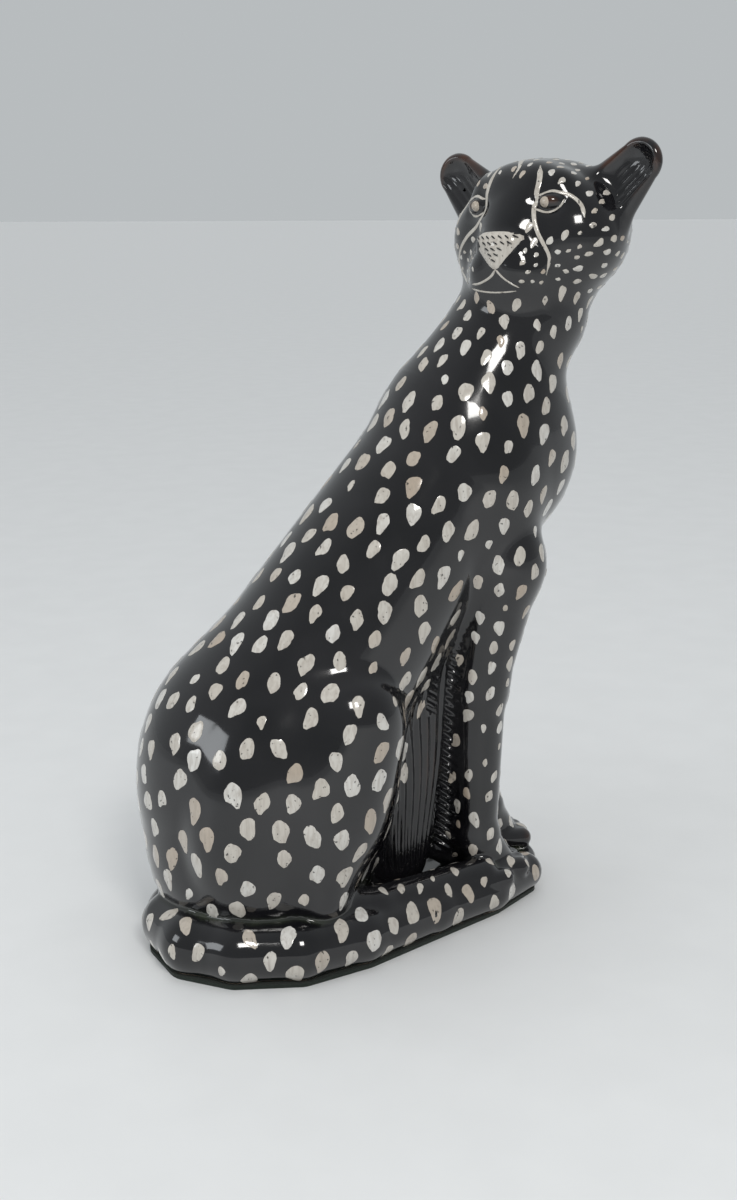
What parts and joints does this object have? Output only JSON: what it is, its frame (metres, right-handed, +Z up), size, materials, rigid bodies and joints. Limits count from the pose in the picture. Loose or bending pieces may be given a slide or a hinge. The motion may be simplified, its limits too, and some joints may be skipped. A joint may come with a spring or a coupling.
{
  "type": "television lamp",
  "caption": "Hollow glazed ceramic cheetah sitting on a low oval foot, with a lamp fitting inside that lights through an arched opening in the hidden flank.",
  "frame": {"origin": "on the table, at the underside of the felt, below the animal's rump, 14 mm behind the bulb axis", "axes": "+X towards the chest, +Y towards the animal's left flank and the light opening, +Z up"},
  "size_m": [0.2177, 0.2652, 0.33],
  "materials": {
    "ceramic_figure": "glossy black glaze, pale scratched spots, bare cream inside",
    "felt_pad": "matt felt",
    "lamp_pipe": "threaded",
    "lower_locknut": "satin",
    "lower_washer": "zinc plated",
    "cushion_washer": "matt red rubber",
    "upper_washer": "zinc plated",
    "upper_locknut": "satin",
    "socket_cap": "polished",
    "cap_set_screw": "plated",
    "socket_shell": "polished",
    "socket_sleeve": "waxed fibre",
    "socket_body": "moulded phenolic",
    "screw_shell": "plain",
    "centre_contact": "plain",
    "terminal_screws": "plain",
    "bulb_base": "plain",
    "bulb_insulator": "black glass",
    "bulb_contact": "solder",
    "bulb_glass": "frosted inside",
    "bulb_stem": "clear",
    "bulb_filament": "drawn wire",
    "cord_grommet": "matt",
    "lamp_cord": "brown vinyl",
    "plug_cord": "brown vinyl",
    "switch_lower": "brown moulding",
    "switch_upper": "brown moulding",
    "switch_wheel": "ivory moulding",
    "switch_rotor": "plain",
    "switch_pin": "plain",
    "switch_contacts": "plain",
    "switch_screws": "zinc plated",
    "plug_body": "brown moulding",
    "plug_disc": "grey fibre",
    "plug_blades": "plain",
    "plug_screws": "plated"
  },
  "bodies": {
    "lamp": {"ceramic_figure": "ceramic_figure", "felt_pad": "felt_pad", "lamp_pipe": "lamp_pipe", "lower_locknut": "lower_locknut", "lower_washer": "lower_washer", "cushion_washer": "cushion_washer", "upper_washer": "upper_washer", "upper_locknut": "upper_locknut", "socket_cap": "socket_cap", "cap_set_screw": "cap_set_screw", "socket_shell": "socket_shell", "socket_sleeve": "socket_sleeve", "socket_body": "socket_body", "screw_shell": "screw_shell", "centre_contact": "centre_contact", "terminal_screws": "terminal_screws", "cord_grommet": "cord_grommet", "lamp_cord": "lamp_cord", "plug_cord": "plug_cord", "switch_lower": "switch_lower", "switch_upper": "switch_upper", "switch_pin": "switch_pin", "switch_contacts": "switch_contacts", "switch_screws": "switch_screws", "plug_body": "plug_body", "plug_disc": "plug_disc", "plug_blades": "plug_blades", "plug_screws": "plug_screws"},
    "bulb": {"bulb_base": "bulb_base", "bulb_insulator": "bulb_insulator", "bulb_contact": "bulb_contact", "bulb_glass": "bulb_glass", "bulb_stem": "bulb_stem", "bulb_filament": "bulb_filament"},
    "thumb_wheel": {"switch_wheel": "switch_wheel", "switch_rotor": "switch_rotor"}
  },
  "joints": [
    {"name": "bulb_release", "type": "slide", "parent": "lamp", "child": "bulb", "axis": [0, 0, 1], "range_m": [0, 0.019]},
    {"name": "switch_turn", "type": "hinge", "parent": "lamp", "child": "thumb_wheel", "pos_m": [0.01, 0.1206, 0.007], "axis": [0, 0, 1], "continuous": true}
  ]
}
